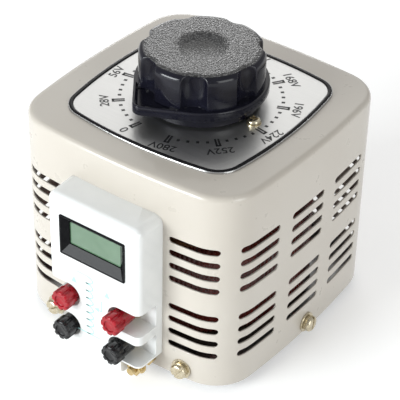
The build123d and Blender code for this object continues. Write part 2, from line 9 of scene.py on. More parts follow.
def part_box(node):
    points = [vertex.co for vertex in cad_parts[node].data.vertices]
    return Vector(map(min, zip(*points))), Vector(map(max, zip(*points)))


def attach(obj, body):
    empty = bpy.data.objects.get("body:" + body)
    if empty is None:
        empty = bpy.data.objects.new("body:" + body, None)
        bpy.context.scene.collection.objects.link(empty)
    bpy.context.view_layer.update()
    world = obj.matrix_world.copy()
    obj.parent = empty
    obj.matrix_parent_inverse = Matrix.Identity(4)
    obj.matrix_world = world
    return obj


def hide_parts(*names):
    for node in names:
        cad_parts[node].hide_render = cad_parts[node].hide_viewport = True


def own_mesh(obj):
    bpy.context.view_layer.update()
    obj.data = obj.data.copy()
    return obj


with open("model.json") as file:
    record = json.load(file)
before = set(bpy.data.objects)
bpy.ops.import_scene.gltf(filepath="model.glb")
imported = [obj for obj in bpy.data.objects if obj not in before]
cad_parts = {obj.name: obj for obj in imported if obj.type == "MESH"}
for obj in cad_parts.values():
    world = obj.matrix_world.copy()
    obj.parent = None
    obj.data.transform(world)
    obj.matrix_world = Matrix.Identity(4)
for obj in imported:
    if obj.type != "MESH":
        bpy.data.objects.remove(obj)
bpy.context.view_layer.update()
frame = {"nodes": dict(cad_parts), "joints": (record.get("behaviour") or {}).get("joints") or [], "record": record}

# Looks of the bench variac. Metres, in the row frame: X right along the front, Y back, Z up.
# Plan shapes are drawn about the knob's axis and moved back by AXIS_Y.

MM = 0.001
JOINTS = {joint["name"]: joint for joint in frame["joints"]}
AXIS_Y = JOINTS["dial_turn"]["pos_m"][1]
COVER_LO, COVER_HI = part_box("cover")
DIAL_LO, DIAL_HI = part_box("dial_plate")
PANEL_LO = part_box("terminal_panel")[0]

# cover
HALF = (COVER_HI[0] - COVER_LO[0]) / 2
FOOT = COVER_LO[2]
TOP = COVER_HI[2]
BULGE = 4.7 * MM
CORNER = 21.8 * MM
SHEET = 0.9 * MM
EDGE = 2.8 * MM
SLOT_LONG = 26.4 * MM
SLOT_TALL = 3.5 * MM
SLOT_STARTS = [(31.1 + 36.05 * i) * MM for i in range(6)]
SLOT_ROWS = [FOOT + (low + pitch * i) * MM for low, pitch in ((18.4, 7.55), (57.6, 7.5)) for i in range(4)]
SCREW_AT = [s * MM for s in (39.1, 120.7, 202.3)]
SCREW_Z = FOOT + 5.4 * MM
SCREW_HOLE_R = 2.7 * MM
WINDOW_WIDE = 40 * MM  # behind the panel
WINDOW_RISES = (11 * MM, 81 * MM)
SHAFT_HOLE_R = 13 * MM
DIAL_HOLE_R = 1.65 * MM

# dial
PLATE_HALF = (DIAL_HI[0] - DIAL_LO[0]) / 2
PLATE_TOP = DIAL_HI[2]
PLATE_BULGE = 5.4 * MM
PLATE_CORNER = 11.5 * MM
DIAL_ZERO = math.radians(-104)
STEPS = 10
STEP_TURN = math.radians(332 / STEPS)
VOLTS_STEP = 28
TICKS = 5
MARK_IN = 36.8 * MM
MARK_OUT = 43.0 * MM
MARK_MID = 40.0 * MM
MARK_WIDE = 2.5 * MM
MARK_LINE = 0.98 * MM
TICK_IN = 38.4 * MM
TICK_OUT = 40.1 * MM
TICK_WIDE = 1.4 * MM
LABEL_R = 46.4 * MM
LABEL_SIZE = 6.3 * MM
PRINT = 0.05 * MM

# knob
KNOB_R = 30.4 * MM
SKIRT_R = 32.4 * MM
SKIRT_HIGH = 11.1 * MM
POINTER_R = 40.6 * MM
FLUTES = 7
FLUTE_AT = math.radians(-61)
FLUTE_R = 7.4 * MM
FLUTE_MID = KNOB_R + 3.3 * MM
FLUTE_SOFT = 0.4 * MM
GRIP_COLUMNS = FLUTES * 96
DISC_IN = 2.6 * MM
DISC_Z = 27.98
DISH_LIP = 14.0 * MM

# screws beside the knob
DIAL_SCREW_R = 33.2 * MM
DIAL_SCREWS = [math.radians(bearing) for bearing in (-6, 174)]


# ---- small tools ---------------------------------------------------------------------------------
def polar(r, angle):
    return r * math.cos(angle), r * math.sin(angle)


def smooth(a, b, x):
    t = min(1.0, max(0.0, (x - a) / (b - a)))
    return t * t * (3 - 2 * t)


def place(name, mesh, material, body, replaces=()):
    piece = bpy.data.objects.new(name, mesh)
    bpy.context.collection.objects.link(piece)
    mesh.materials.clear()
    mesh.materials.append(material)
    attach(piece, body)
    if replaces:
        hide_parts(*replaces)
    return piece


def mesh_of(name, verts, faces):
    mesh = bpy.data.meshes.new(name)
    mesh.from_pydata(verts, [], faces)
    mesh.validate()
    mesh.update()
    mesh.polygons.foreach_set("use_smooth", [True] * len(mesh.polygons))
    return mesh


def modify(mesh, *steps, sharp=None):
    """The mesh with modifiers applied; steps are (type, settings)."""
    holder = bpy.data.objects.new("holder", mesh)
    bpy.context.collection.objects.link(holder)
    for kind, settings in steps:
        modifier = holder.modifiers.new(kind.lower(), kind)
        for key, value in settings.items():
            setattr(modifier, key, value)
    depsgraph = bpy.context.evaluated_depsgraph_get()
    result = bpy.data.meshes.new_from_object(holder.evaluated_get(depsgraph))
    bpy.data.objects.remove(holder)
    result.polygons.foreach_set("use_smooth", [True] * len(result.polygons))
    if sharp:
        result.set_sharp_from_angle(angle=math.radians(sharp))
    return result


def bevelled(width):
    return ("BEVEL", {"width": width, "segments": 2, "limit_method": "ANGLE",
                      "angle_limit": math.radians(50), "harden_normals": False})


WEIGHTED = ("WEIGHTED_NORMAL", {"keep_sharp": True})


def grid_faces(rows, columns, looped=False):
    """Quads of a grid whose columns run round a ring, and whose last row meets the first if looped."""
    faces = []
    for j in range(rows if looped else rows - 1):
        low = j * columns
        high = (j + 1) % rows * columns
        for i in range(columns):
            k = (i + 1) % columns
            faces.append((low + i, low + k, high + k, high + i))
    return faces


def lathe(profile, segments, place_by=Matrix()):
    """Turned solid about +Z from (radius, height) points; ends at radius 0 close to a point."""
    verts = []
    faces = []
    rings = []
    for r, z in profile:
        if r < 1e-7:
            rings.append([len(verts)])
            verts.append(Vector((0, 0, z)))
            continue
        rings.append(list(range(len(verts), len(verts) + segments)))
        for i in range(segments):
            x, y = polar(r, 2 * math.pi * i / segments)
            verts.append(Vector((x, y, z)))
    for low, high in zip(rings, rings[1:]):
        for i in range(segments):
            k = (i + 1) % segments
            if len(low) == 1 and len(high) == 1:
                continue
            if len(low) == 1:
                faces.append((low[0], high[k], high[i]))
            elif len(high) == 1:
                faces.append((low[i], low[k], high[0]))
            else:
                faces.append((low[i], low[k], high[k], high[i]))
    return [place_by @ v for v in verts], faces


def joined(parts):
    """One (verts, faces) from several."""
    verts = []
    faces = []
    for some_verts, some_faces in parts:
        base = len(verts)
        verts.extend(some_verts)
        faces.extend(tuple(base + i for i in face) for face in some_faces)
    return verts, faces


def prism(outline, low, high, place_by=Matrix()):
    """Closed prism over an outline of (x, y) points, from low to high along Z."""
    n = len(outline)
    verts = [place_by @ Vector((x, y, low)) for x, y in outline]
    verts += [place_by @ Vector((x, y, high)) for x, y in outline]
    faces = [tuple(reversed(range(n))), tuple(range(n, 2 * n))]
    faces += [(i, (i + 1) % n, n + (i + 1) % n, n + i) for i in range(n)]
    return verts, faces


def facing(x, y, z):
    """Frame at a point whose +Z looks out of the front, with +Y up."""
    return Matrix.Translation((x, y, z)) @ Matrix.Rotation(math.pi / 2, 4, "X")


# ---- materials -----------------------------------------------------------------------------------
class Shade:
    """Node-building helper around one Principled shader."""

    def __init__(self, name, **sockets):
        self.material = bpy.data.materials.new(name)
        self.material.use_nodes = True
        self.nodes = self.material.node_tree.nodes
        self.links = self.material.node_tree.links
        self.bsdf = self.nodes["Principled BSDF"]
        self.coordinates = self.nodes.new("ShaderNodeTexCoord").outputs["Object"]
        self.bump_chain = None
        for key, value in sockets.items():
            self.bsdf.inputs[key.replace("_", " ")].default_value = value

    def stretch(self, scale):
        mapping = self.nodes.new("ShaderNodeMapping")
        mapping.inputs["Scale"].default_value = scale
        self.links.new(self.coordinates, mapping.inputs["Vector"])
        return mapping.outputs["Vector"]

    def clouds(self, scale, detail=4, rough=0.6, vector=None):
        texture = self.nodes.new("ShaderNodeTexNoise")
        texture.inputs["Scale"].default_value = scale
        texture.inputs["Detail"].default_value = detail
        texture.inputs["Roughness"].default_value = rough
        self.links.new(vector or self.coordinates, texture.inputs["Vector"])
        return texture.outputs["Fac"]

    def cells(self, scale):
        texture = self.nodes.new("ShaderNodeTexVoronoi")
        texture.inputs["Scale"].default_value = scale
        self.links.new(self.coordinates, texture.inputs["Vector"])
        return texture.outputs["Distance"]

    def ramp(self, value, low, high, start, end):
        """value taken from low..high to start..end."""
        node = self.nodes.new("ShaderNodeMapRange")
        for socket, number in zip(("From Min", "From Max", "To Min", "To Max"), (low, high, start, end)):
            node.inputs[socket].default_value = number
        self.links.new(value, node.inputs["Value"])
        return node.outputs["Result"]

    def blend(self, factor, one, other):
        """Colour between one and other, each a colour or a socket."""
        node = self.nodes.new("ShaderNodeMix")
        node.data_type = "RGBA"
        self.links.new(factor, node.inputs[0])
        for socket, colour in ((node.inputs[6], one), (node.inputs[7], other)):
            if isinstance(colour, tuple):
                socket.default_value = (*colour, 1)
            else:
                self.links.new(colour, socket)
        return node.outputs[2]

    def colour(self, value):
        self.links.new(value, self.bsdf.inputs["Base Color"])

    def roughness(self, value):
        self.links.new(value, self.bsdf.inputs["Roughness"])

    def bump(self, height, strength, distance):
        node = self.nodes.new("ShaderNodeBump")
        node.inputs["Strength"].default_value = strength
        node.inputs["Distance"].default_value = distance
        self.links.new(height, node.inputs["Height"])
        if self.bump_chain is not None:
            self.links.new(self.bump_chain, node.inputs["Normal"])
        self.bump_chain = node.outputs["Normal"]
        self.links.new(self.bump_chain, self.bsdf.inputs["Normal"])


def plain(name, one, other, rough, grain, fine=2500, bump=0.15, depth=0.02, **sockets):
    """General finish: two close colours in soft clouds, uneven gloss and a fine surface."""
    shade = Shade(name, **sockets)
    shade.colour(shade.blend(shade.ramp(shade.clouds(grain), 0.3, 0.7, 0, 1), one, other))
    shade.roughness(shade.ramp(shade.clouds(grain * 1.7, detail=2), 0.3, 0.7, *rough))
    shade.bump(shade.clouds(fine, detail=2), bump, depth * MM)
    return shade.material


def brushed(name, one, other, rough, stretch, **sockets):
    """Metal with fine lines along one direction."""
    shade = Shade(name, **sockets)
    lines = shade.clouds(1.0, detail=6, rough=0.75, vector=shade.stretch(stretch))
    shade.colour(shade.blend(shade.ramp(lines, 0.3, 0.7, 0, 1), one, other))
    shade.roughness(shade.ramp(lines, 0.3, 0.7, *rough))
    shade.bump(lines, 0.25, 0.01 * MM)
    return shade.material


def paint_material():
    shade = Shade("case_paint", Coat_Weight=0.35, Coat_Roughness=0.07)
    drift = shade.ramp(shade.clouds(14, detail=2), 0.3, 0.7, 0, 1)
    tone = shade.blend(drift, (0.480, 0.442, 0.388), (0.514, 0.480, 0.428))
    specks = shade.ramp(shade.clouds(900, detail=1), 0.68, 0.74, 0, 0.05)
    shade.colour(shade.blend(specks, tone, (0.42, 0.37, 0.31)))
    shade.roughness(shade.ramp(shade.clouds(120, detail=3), 0.3, 0.7, 0.27, 0.31))
    shade.bump(shade.clouds(420, detail=1, rough=0.4), 0.03, 0.04 * MM)
    return shade.material


def pebble_glint_material():
    shade = Shade("knob_pebble_painted_glints", Specular_IOR_Level=1.0)
    # painted highlight: the pebble crests are coloured lighter grey in patches, standing in for glints off the
    # black plastic; the cells and bumps themselves are real texture
    pebbles = shade.cells(1150)
    crest = shade.ramp(pebbles, 0.55, 0.15, 0, 1)
    glint_patch = shade.ramp(shade.clouds(1300, detail=2), 0.42, 0.60, 0.25, 1)
    painted_glint = shade.nodes.new("ShaderNodeMath")
    painted_glint.operation = "MULTIPLY"
    shade.links.new(crest, painted_glint.inputs[0])
    shade.links.new(glint_patch, painted_glint.inputs[1])
    shade.colour(shade.blend(painted_glint.outputs[0], (0.003, 0.003, 0.004), (0.15, 0.15, 0.15)))
    shade.roughness(shade.ramp(pebbles, 0.0, 0.6, 0.16, 0.30))
    shade.bump(shade.clouds(2600, detail=2), 0.5, 0.10 * MM)
    shade.bump(pebbles, 1.0, -0.30 * MM)
    return shade.material


def screen_material():
    shade = Shade("screen_cell", Roughness=0.16, Coat_Weight=1.0, Coat_Roughness=0.02)
    sheen = shade.ramp(shade.clouds(60, detail=2), 0.3, 0.7, 0, 1)
    shade.colour(shade.blend(sheen, (0.070, 0.145, 0.080), (0.098, 0.182, 0.108)))
    dots = shade.clouds(4000, detail=1)
    shade.bump(dots, 0.05, 0.01 * MM)
    return shade.material


PAINT = paint_material()
PEBBLE_GLINTS = pebble_glint_material()
CELL = screen_material()
KNOB = plain("knob_black", (0.004, 0.004, 0.008), (0.009, 0.009, 0.016), rough=(0.09, 0.18), grain=90,
             fine=700, bump=0.06, depth=0.05, Specular_IOR_Level=0.32)
TRIM = plain("trim_black", (0.002, 0.002, 0.003), (0.006, 0.006, 0.007), rough=(0.16, 0.26), grain=120,
             Specular_IOR_Level=0.16)
PANEL = plain("panel_white", (0.70, 0.71, 0.70), (0.75, 0.76, 0.755), rough=(0.16, 0.26), grain=40, fine=500,
              bump=0.05, depth=0.05, Coat_Weight=0.2, Coat_Roughness=0.1)
BEZEL = plain("bezel_black", (0.002, 0.002, 0.003), (0.006, 0.006, 0.007), rough=(0.06, 0.11), grain=300,
              Specular_IOR_Level=0.08)
RED = plain("post_red", (0.26, 0.002, 0.008), (0.36, 0.005, 0.014), rough=(0.12, 0.22), grain=220, fine=900,
            bump=0.08, depth=0.04, Specular_IOR_Level=0.4)
BLACK = plain("post_black", (0.006, 0.006, 0.007), (0.014, 0.014, 0.015), rough=(0.12, 0.24), grain=220,
              fine=900, bump=0.08, depth=0.04, Specular_IOR_Level=0.4)
SILVER = brushed("dial_silver", (0.56, 0.56, 0.555), (0.64, 0.64, 0.63), (0.30, 0.44), (25, 2600, 25),
                 Metallic=1.0)
INK = plain("dial_ink", (0.005, 0.005, 0.006), (0.014, 0.014, 0.015), rough=(0.35, 0.5), grain=500)
TEAL = plain("panel_ink", (0.36, 0.66, 0.64), (0.44, 0.72, 0.70), rough=(0.3, 0.4), grain=500)
RIM = plain("trim_bright", (0.42, 0.42, 0.42), (0.52, 0.52, 0.52), rough=(0.20, 0.30), grain=200,
            Metallic=1.0)
ZINC = plain("yellow_zinc", (0.52, 0.45, 0.31), (0.70, 0.64, 0.50), rough=(0.20, 0.34), grain=500, fine=1800,
             bump=0.2, Metallic=1.0)
BRASS = plain("brass", (0.50, 0.37, 0.17), (0.66, 0.52, 0.28), rough=(0.20, 0.34), grain=420, Metallic=1.0)
STEEL = plain("bright_steel", (0.50, 0.50, 0.50), (0.66, 0.66, 0.66), rough=(0.22, 0.36), grain=260,
              Metallic=1.0)
PLATED = brushed("base_steel", (0.52, 0.53, 0.54), (0.66, 0.67, 0.68), (0.28, 0.42), (20, 900, 20),
                 Metallic=1.0)
RUBBER = plain("foot_rubber", (0.018, 0.018, 0.018), (0.034, 0.034, 0.033), rough=(0.6, 0.75), grain=300,
               bump=0.4)
FIBRE = plain("insulator", (0.030, 0.020, 0.015), (0.055, 0.038, 0.026), rough=(0.45, 0.6), grain=500,
              bump=0.4)
CASTING = plain("grey_frame", (0.14, 0.145, 0.15), (0.20, 0.205, 0.21), rough=(0.45, 0.6), grain=600,
                bump=0.5, depth=0.08)
IRON = plain("iron_core", (0.05, 0.05, 0.05), (0.09, 0.09, 0.09), rough=(0.5, 0.6), grain=400)
VARNISH = plain("winding_red", (0.085, 0.010, 0.008), (0.15, 0.022, 0.014), rough=(0.22, 0.36), grain=240,
                Coat_Weight=0.4, Coat_Roughness=0.15)
COPPER = brushed("copper", (0.62, 0.26, 0.13), (0.80, 0.40, 0.22), (0.25, 0.4), (200, 200, 200), Metallic=1.0)
CARBON = plain("carbon", (0.02, 0.02, 0.02), (0.04, 0.04, 0.04), rough=(0.5, 0.6), grain=900)
ALLOY = plain("aluminium", (0.62, 0.63, 0.64), (0.74, 0.75, 0.76), rough=(0.25, 0.38), grain=160,
              Metallic=1.0)
BOARD = plain("board", (0.010, 0.055, 0.022), (0.018, 0.08, 0.034), rough=(0.35, 0.5), grain=600)
WIRE = plain("lead_wire", (0.55, 0.55, 0.52), (0.66, 0.66, 0.62), rough=(0.35, 0.45), grain=400)

FINISHES = {
    "case_paint": PAINT,
    "base_steel": PLATED,
    "foot_rubber": RUBBER,
    "yellow_zinc": ZINC,
    "bright_steel": STEEL,
    "insulator": FIBRE,
    "grey_frame": CASTING,
    "iron_core": IRON,
    "winding_red": VARNISH,
    "copper": COPPER,
    "carbon": CARBON,
    "aluminium": ALLOY,
    "dial_silver": SILVER,
    "trim_black": TRIM,
    "knob_black": KNOB,
    "panel_white": PANEL,
    "bezel_black": BEZEL,
    "screen": CELL,
    "board": BOARD,
    "post_red": RED,
    "post_black": BLACK,
    "brass": BRASS,
    "lead_wire": WIRE,
}


# ---- CAD nodes that stay ---------------------------------------------------------------------------
SOFTEN = {"terminal_panel": 0.45, "display_bezel": 0.12, "base_plate": 0.2, "feet": 0.5, "brush_disc": 0.2,
          "top_clamp": 0.4, "bearing_column": 0.3, "earth_nuts": 0.15, "post_bases": 0.2, "dial_washers": 0.1}


def dress_nodes():
    slots = {part["node"]: part["material_slot"] for part in frame["record"]["subparts"]}
    for name, node in frame["nodes"].items():
        node.data.materials.clear()
        node.data.materials.append(FINISHES[slots[name]])
        weld = node.modifiers.new("weld", "WELD")
        weld.merge_threshold = 1e-6
        if name in SOFTEN:
            bevel = node.modifiers.new("bevel", "BEVEL")
            bevel.width = SOFTEN[name] * MM
            bevel.segments = 2
            bevel.limit_method = "ANGLE"
            bevel.angle_limit = math.radians(40)


dress_nodes()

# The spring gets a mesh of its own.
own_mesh(frame["nodes"]["brush_spring"])


# ---- cover -----------------------------------------------------------------------------------------
class Plan:
    """Square with four long arcs for sides, joined by corner arcs, measured along its outline."""

    def __init__(self, half, bulge, corner):
        self.half = half
        self.corner = corner
        self.side = half * half / (2 * bulge) + bulge / 2
        lead = half - self.side
        b = -2 * lead
        k = lead * lead - (self.side - corner) ** 2
        self.centre = (-b + math.sqrt(b * b - 8 * k)) / 4
        self.turn = math.atan2(self.centre, self.centre - half + self.side)
        self.flat = self.side * self.turn
        self.bend = corner * (math.pi / 2 - 2 * self.turn)
        self.around = 4 * (2 * self.flat + self.bend)

    def at(self, s, inset=0.0):
        """(x, y, outward bearing) at s round the outline from the middle of the front, towards +X."""
        quarter = 2 * self.flat + self.bend
        turns = round(s / quarter)
        s -= turns * quarter
        face = math.radians(-90 + 90 * turns)
        if abs(s) <= self.flat:
            a = s / self.side
            x = self.half - self.side + (self.side - inset) * math.cos(a)
            y = (self.side - inset) * math.sin(a)
        else:
            sign = 1 if s > 0 else -1
            a = sign * (self.turn + (abs(s) - self.flat) / self.corner)
            x = self.centre + (self.corner - inset) * math.cos(a)
            y = sign * self.centre + (self.corner - inset) * math.sin(a)
        return (*polar(math.hypot(x, y), face + math.atan2(y, x)), face + a)


COVER_PLAN = Plan(HALF, BULGE, CORNER)


def slot_loop(start, z):
    """Outline of one slot in (distance round, height): two round ends joined by straight runs."""
    r = SLOT_TALL / 2
    straight = SLOT_LONG - 2 * r
    loop = []
    for middle, first, way in ((start + SLOT_LONG - r, -90, -1), (start + r, 90, 1)):
        for k in range(9):
            dx, dz = polar(r, math.radians(first + 22.5 * k))
            loop.append((middle + dx, z + dz))
        loop += [(middle + way * straight * k / 7, z - way * r) for k in range(1, 7)]
    return loop


def hole_loop(s, z, r, count=20):
    ring = [polar(r, 2 * math.pi * k / count) for k in range(count)]
    return [(s + dx, z + dz) for dx, dz in ring]


def inside(loop, x, y):
    found = False
    for (x0, y0), (x1, y1) in zip(loop, loop[1:] + loop[:1]):
        if (y0 > y) != (y1 > y) and x < (x1 - x0) * (y - y0) / (y1 - y0) + x0:
            found = not found
    return found


def triangulate(border, loops, spread):
    """Triangles of the region inside border and outside loops, with extra points in spread."""
    points = []
    edges = []
    for loop in [border] + loops:
        base = len(points)
        points += loop
        edges += [(base + k, base + (k + 1) % len(loop)) for k in range(len(loop))]
    boxes = []
    for loop in loops:
        xs = [p[0] for p in loop]
        ys = [p[1] for p in loop]
        boxes.append((min(xs), max(xs), min(ys), max(ys), loop))

    def open_at(x, y, margin):
        for x0, x1, y0, y1, loop in boxes:
            if x0 - margin < x < x1 + margin and y0 - margin < y < y1 + margin:
                if margin or inside(loop, x, y):
                    return False
        return True

    points += [p for p in spread if open_at(*p, 0.6 * MM)]
    out = geometry.delaunay_2d_cdt([Vector(p) for p in points], edges, [], 0, 1e-7)
    verts = [tuple(v) for v in out[0]]
    faces = []
    for face in out[2]:
        x = sum(verts[i][0] for i in face) / 3
        y = sum(verts[i][1] for i in face) / 3
        if open_at(x, y, 0) and inside(border, x, y):
            faces.append(tuple(face))
    return verts, faces


def cover_mesh():
    columns = 168
    around = COVER_PLAN.around
    wall_top = TOP - EDGE
    loops = []
    for z in SLOT_ROWS:
        for start in SLOT_STARTS:
            loops.append(slot_loop(start, z))
            loops.append(slot_loop(-start - SLOT_LONG, z))
    for s in SCREW_AT:
        loops.append(hole_loop(s, SCREW_Z, SCREW_HOLE_R))
        loops.append(hole_loop(-s, SCREW_Z, SCREW_HOLE_R))
    half = WINDOW_WIDE / 2
    sill, head = (PANEL_LO[2] + rise for rise in WINDOW_RISES)
    loops.append([(-half, sill), (half, sill), (half, head), (-half, head)])
    levels = [FOOT + (wall_top - FOOT) * k / 20 for k in range(21)]
    stations = [around * (i / columns - 0.5) for i in range(columns + 1)]
    border = [(s, levels[0]) for s in stations] + [(stations[-1], z) for z in levels[1:-1]]
    border += [(s, levels[-1]) for s in reversed(stations)]
    border += [(stations[0], z) for z in reversed(levels[1:-1])]
    spread = [(s, z) for s in stations[1:-1] for z in levels[1:-1]]
    flat, wall_faces = triangulate(border, loops, spread)
    wall = []
    for s, z in flat:
        x, y, _ = COVER_PLAN.at(s)
        wall.append((x, y, z))
    rounds = [(EDGE * (1 - math.cos(a)), wall_top + EDGE * math.sin(a))
              for a in [math.pi / 2 * k / 6 for k in range(7)]]
    rounds += [(EDGE + d * MM, TOP) for d in (1.0, 3.0, 6.0, 10.0)]
    crown = []
    for inset, z in rounds:
        crown += [(*COVER_PLAN.at(s, inset)[:2], z) for s in stations[:-1]]
    crown_faces = grid_faces(len(rounds), columns)
    inner = [COVER_PLAN.at(s, rounds[-1][0])[:2] for s in stations[:-1]]
    holes = [hole_loop(0, 0, SHAFT_HOLE_R, 48)]
    holes += [hole_loop(*polar(DIAL_SCREW_R, bearing), DIAL_HOLE_R) for bearing in DIAL_SCREWS]
    disc, lid_faces = triangulate(inner, holes, [])
    lid = [(x, y, TOP) for x, y in disc]
    verts, faces = joined([(wall, wall_faces), (crown, crown_faces), (lid, lid_faces)])
    verts = [Vector((x, y + AXIS_Y, z)) for x, y, z in verts]
    shell = mesh_of("cover_shell", verts, faces)
    return modify(shell, ("WELD", {"merge_threshold": 0.02 * MM}),
                  ("SOLIDIFY", {"thickness": SHEET, "offset": -1, "use_even_offset": False}),
                  bevelled(0.22 * MM), WEIGHTED, sharp=50)


place("cover_shell", cover_mesh(), PAINT, "case", ["cover"])


# ---- winding, seen through the slots ----------------------------------------------------------------
def winding_mesh():
    """Toroid of wound wire: a rounded-square section whose surface ripples turn by turn."""
    low, high = (corner[2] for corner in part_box("winding"))
    outer = (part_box("winding")[1][0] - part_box("winding")[0][0]) / 2
    inner = 21.5 * MM
    turns = 150
    per_turn = 6
    columns = turns * per_turn
    half_w = (outer - inner) / 2
    half_h = (high - low) / 2
    corner = 6 * MM
    section = []
    for k in range(4):
        for j in range(7):
            a = math.pi / 2 * (k + j / 6)
            cx = (half_w - corner) * (1 if k in (0, 3) else -1)
            cz = (half_h - corner) * (1 if k in (0, 1) else -1)
            dx, dz = polar(1.0, a)
            section.append((cx + corner * dx, cz + corner * dz, dx, dz))
    verts = []
    for x, z, dx, dz in section:
        for i in range(columns):
            wire = abs(math.sin(math.pi * i / per_turn))
            sink = 0.55 * MM * (1 - wire)
            angle = 2 * math.pi * i / columns
            r = (outer + inner) / 2 + x - dx * sink
            height = (high + low) / 2 + z - dz * sink
            verts.append((r * math.cos(angle), AXIS_Y + r * math.sin(angle), height))
    faces = [tuple(reversed(face)) for face in grid_faces(len(section), columns, looped=True)]
    return mesh_of("wound_wire", verts, faces)


place("wound_wire", winding_mesh(), VARNISH, "case", ["winding"])


# ---- dial --------------------------------------------------------------------------------------------
DIAL_PLAN = Plan(PLATE_HALF, PLATE_BULGE, PLATE_CORNER)
TRIM_LO, TRIM_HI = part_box("dial_frame")
TRIM_WIDE = (TRIM_HI[0] - TRIM_LO[0]) / 2 - PLATE_HALF


def strip_mesh(name, section):
    """Closed strip along the dial's outline; section is (outset, height) points in order."""
    count = 240
    stations = [DIAL_PLAN.around * (i / count - 0.5) for i in range(count)]
    verts = []
    for outset, z in section:
        for s in stations:
            x, y, _ = DIAL_PLAN.at(s, -outset)
            verts.append((x, y + AXIS_Y, z))
    mesh = mesh_of(name, verts, grid_faces(len(section), count, looped=True))
    mesh.set_sharp_from_angle(angle=math.radians(50))
    return mesh


def half_round(start, end, low, high):
    """Crest of a rounded band from start to end, as (outset, height) points."""
    steps = 8
    middle = (start + end) / 2
    wide = (end - start) / 2
    crest = []
    for k in range(steps + 1):
        a = math.pi * k / steps
        crest.append((middle - wide * math.cos(a), low + (high - low) * math.sin(a) ** 0.6))
    return crest


def dial_trim():
    base = TRIM_LO[2]
    edge = TRIM_WIDE - 0.6 * MM
    band = half_round(0.02 * MM, edge, base + 0.1 * MM, base + 1.25 * MM)
    band = [(0.02 * MM, base)] + band + [(edge, base)]
    bead = half_round(edge + 0.02 * MM, TRIM_WIDE, base + 0.05 * MM, base + 1.0 * MM)
    bead = [(edge + 0.02 * MM, base)] + bead + [(TRIM_WIDE, base)]
    place("dial_trim", strip_mesh("dial_trim", band), TRIM, "case", ["dial_frame"])
    place("dial_bead", strip_mesh("dial_bead", bead), RIM, "case")


dial_trim()

DIAL_PRINT_AT = Matrix.Translation((0, AXIS_Y, PLATE_TOP))


def bar(r_in, r_out, wide, angle):
    """Printed bar from r_in to r_out at an angle round the dial."""
    outline = [(r_in, -wide / 2), (r_out, -wide / 2), (r_out, wide / 2), (r_in, wide / 2)]
    return prism(outline, 0.0, PRINT, DIAL_PRINT_AT @ Matrix.Rotation(angle, 4, "Z"))


def lettering(text, size, place_by):
    """Mesh data of a short text, centred, standing PRINT above its plane."""
    curve = bpy.data.curves.new("letters", "FONT")
    curve.body = text
    curve.size = size
    curve.align_x = "CENTER"
    curve.align_y = "CENTER"
    curve.extrude = PRINT / 2
    curve.resolution_u = 4
    curve.offset = size * 0.012
    holder = bpy.data.objects.new("letters", curve)
    bpy.context.collection.objects.link(holder)
    mesh = bpy.data.meshes.new_from_object(holder.evaluated_get(bpy.context.evaluated_depsgraph_get()))
    verts = [place_by @ Matrix.Translation((0, 0, PRINT / 2)) @ v.co for v in mesh.vertices]
    faces = [tuple(polygon.vertices) for polygon in mesh.polygons]
    bpy.data.objects.remove(holder)
    return verts, faces


def dial_print():
    """Double bar and label at each step, with square ticks between."""
    parts = []
    apart = (MARK_WIDE - MARK_LINE) / 2 / MARK_MID
    for step in range(STEPS + 1):
        angle = DIAL_ZERO - STEP_TURN * step
        for side in (-1, 1):
            parts.append(bar(MARK_IN, MARK_OUT, MARK_LINE, angle + side * apart))
        parts.append(bar(MARK_OUT - 1.1 * MM, MARK_OUT, MARK_WIDE, angle))
        if step < STEPS:
            for k in range(1, TICKS):
                parts.append(bar(TICK_IN, TICK_OUT, TICK_WIDE, angle - STEP_TURN * k / TICKS))
        label = str(VOLTS_STEP * step) + ("V" if step else "")
        at = DIAL_PRINT_AT @ Matrix.Rotation(angle, 4, "Z") @ Matrix.Translation((LABEL_R, 0, 0))
        parts.append(lettering(label, LABEL_SIZE, at @ Matrix.Rotation(-math.pi / 2, 4, "Z")))
    verts, faces = joined(parts)
    mesh = mesh_of("dial_print", verts, faces)
    mesh.polygons.foreach_set("use_smooth", [False] * len(mesh.polygons))
    return mesh


place("dial_print", dial_print(), INK, "case")


# ---- knob ----------------------------------------------------------------------------------------------
def grip_radius(angle, inset):
    """Distance from the axis to the fluted side, moved in by inset."""
    pitch = 2 * math.pi / FLUTES
    off = (angle - FLUTE_AT + pitch / 2) % pitch - pitch / 2
    round_r = KNOB_R - inset
    flute = FLUTE_R - 0.12 * inset
    if abs(off) >= math.asin(flute / FLUTE_MID):
        return round_r
    cut = FLUTE_MID * math.cos(off) - math.sqrt(flute ** 2 - (FLUTE_MID * math.sin(off)) ** 2)
    return min(round_r, cut) - FLUTE_SOFT * math.log(1 + math.exp(-abs(round_r - cut) / FLUTE_SOFT))


def knob_grip():
    base = PLATE_TOP
    profile = [(3.0, SKIRT_HIGH / MM - 1.0), (0.0, SKIRT_HIGH / MM - 0.6), (0.0, 12.0), (0.03, 15.0),
               (0.06, 18.0), (0.09, 21.0), (0.14, 24.0), (0.18, 25.2), (0.32, 26.0), (0.62, 26.7),
               (1.05, 27.25), (1.6, 27.65), (2.2, 27.92), (2.5, 27.95), (DISC_IN / MM, DISC_Z)]
    verts = []
    for inset, z in profile:
        for i in range(GRIP_COLUMNS):
            angle = 2 * math.pi * i / GRIP_COLUMNS
            x, y = polar(grip_radius(angle, inset * MM), angle)
            verts.append((x, y + AXIS_Y, base + z * MM))
    faces = grid_faces(len(profile), GRIP_COLUMNS)
    faces.append(tuple(reversed(range(GRIP_COLUMNS))))
    mesh = mesh_of("knob_grip", verts, faces)
    mesh.set_sharp_from_angle(angle=math.radians(60))
    return mesh


